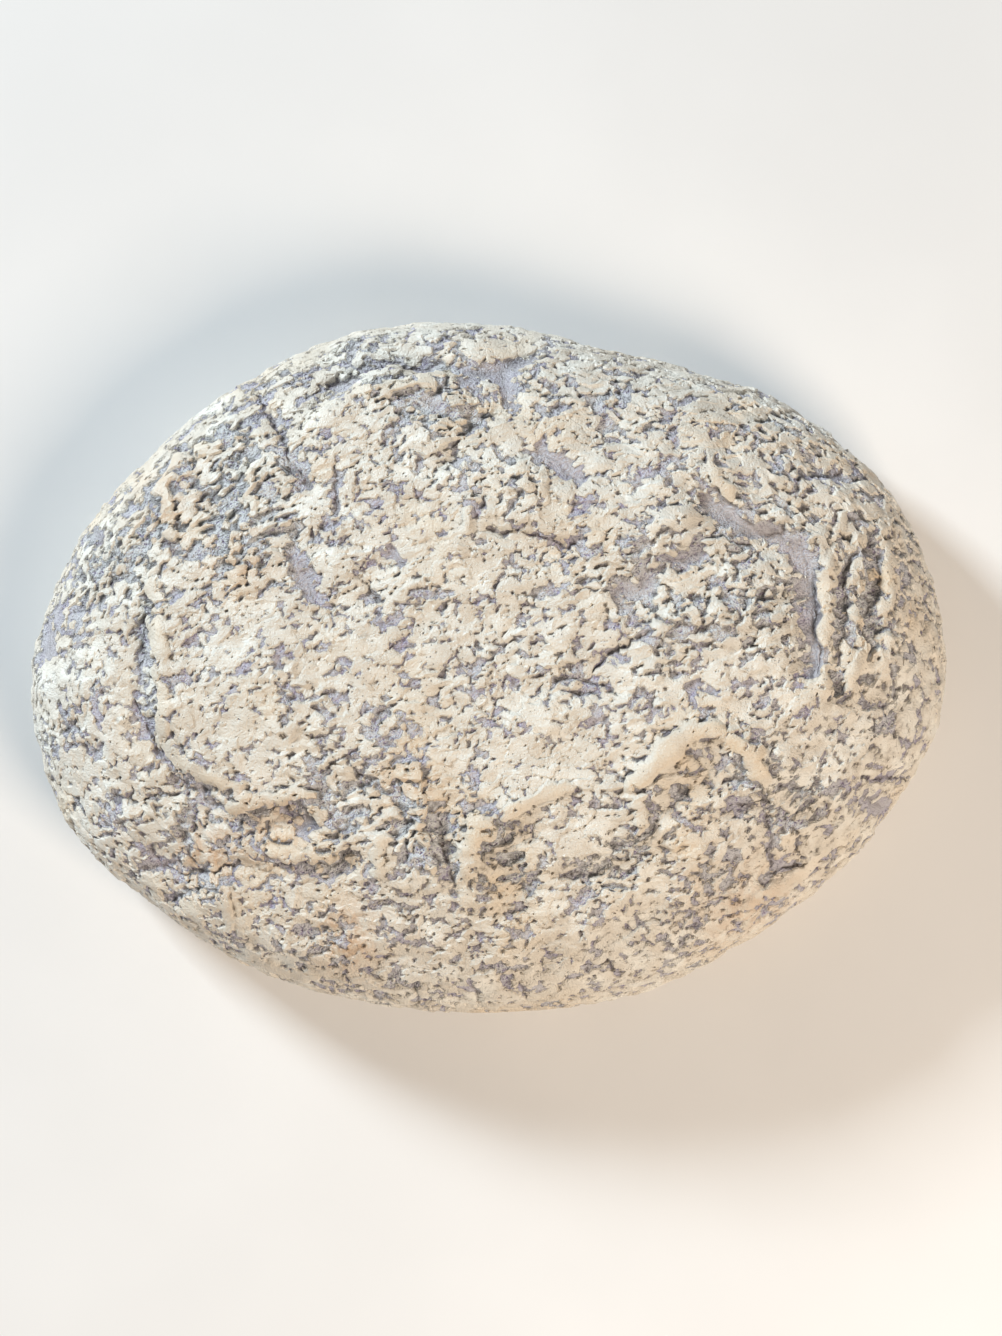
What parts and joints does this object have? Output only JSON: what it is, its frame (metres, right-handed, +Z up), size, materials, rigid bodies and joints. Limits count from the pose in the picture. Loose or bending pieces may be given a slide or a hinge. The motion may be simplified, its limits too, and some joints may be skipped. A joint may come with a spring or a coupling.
{
  "type": "oval display stone",
  "caption": "Flat oval display stone with a gently domed, wrinkled and pitted crust, a rounded rim and a flat underside to rest on.",
  "frame": {"origin": "on the ground, under the middle of the stone's box", "axes": "+X along the stone's length, +Y across it, +Z up out of the domed face"},
  "size_m": [0.22, 0.166, 0.05],
  "materials": {
    "crust": "matte cream crust over lavender-grey hollows, dark in the creases, with ochre stains"
  },
  "bodies": {
    "root": {"stone": "crust"}
  },
  "joints": []
}
